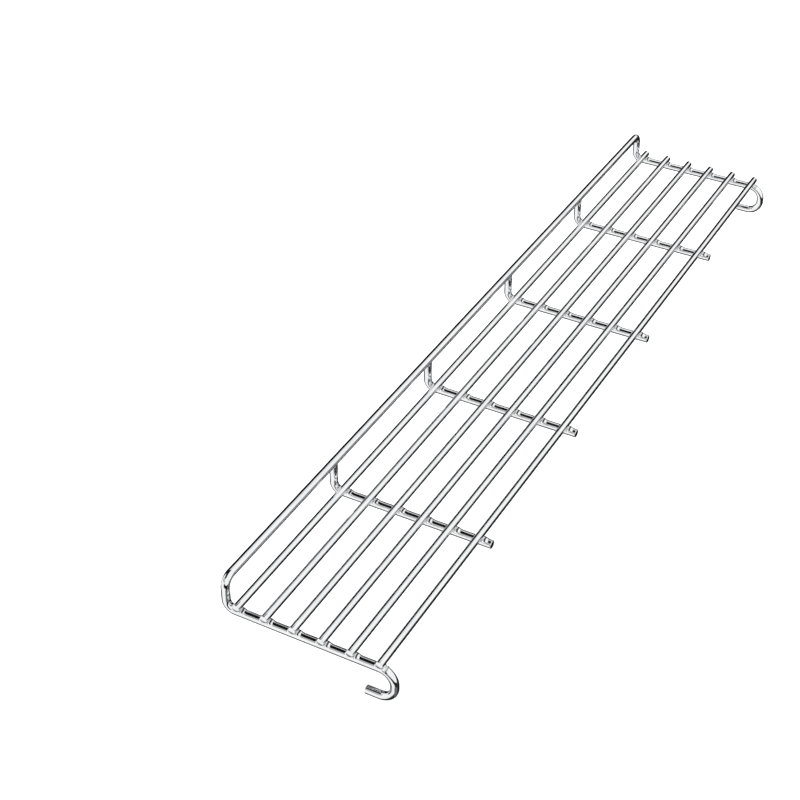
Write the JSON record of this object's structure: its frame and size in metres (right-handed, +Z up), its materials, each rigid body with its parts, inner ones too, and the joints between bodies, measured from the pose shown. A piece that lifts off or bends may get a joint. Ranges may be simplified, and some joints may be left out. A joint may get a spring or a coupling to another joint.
{
  "type": "grill warming rack",
  "caption": "Chrome wire warming rack for a grill: parallel rods welded across bent cross wires, with a raised guard rail along the back and a U-shaped hook at each end.",
  "frame": {"origin": "middle of the footprint, level with the underside of the hooks", "axes": "+X along the rods, -Y towards the hooks, +Y towards the guard rail, +Z up"},
  "size_m": [0.6348, 0.1172, 0.0485],
  "materials": {
    "chrome_wire": "bright polished chrome plate on steel wire"
  },
  "bodies": {
    "root": {"frame_wire": "chrome_wire", "support_rib_1": "chrome_wire", "support_rib_2": "chrome_wire", "support_rib_3": "chrome_wire", "support_rib_4": "chrome_wire", "deck_rod_1": "chrome_wire", "deck_rod_2": "chrome_wire", "deck_rod_3": "chrome_wire", "deck_rod_4": "chrome_wire", "deck_rod_5": "chrome_wire", "deck_rod_6": "chrome_wire"}
  },
  "joints": []
}
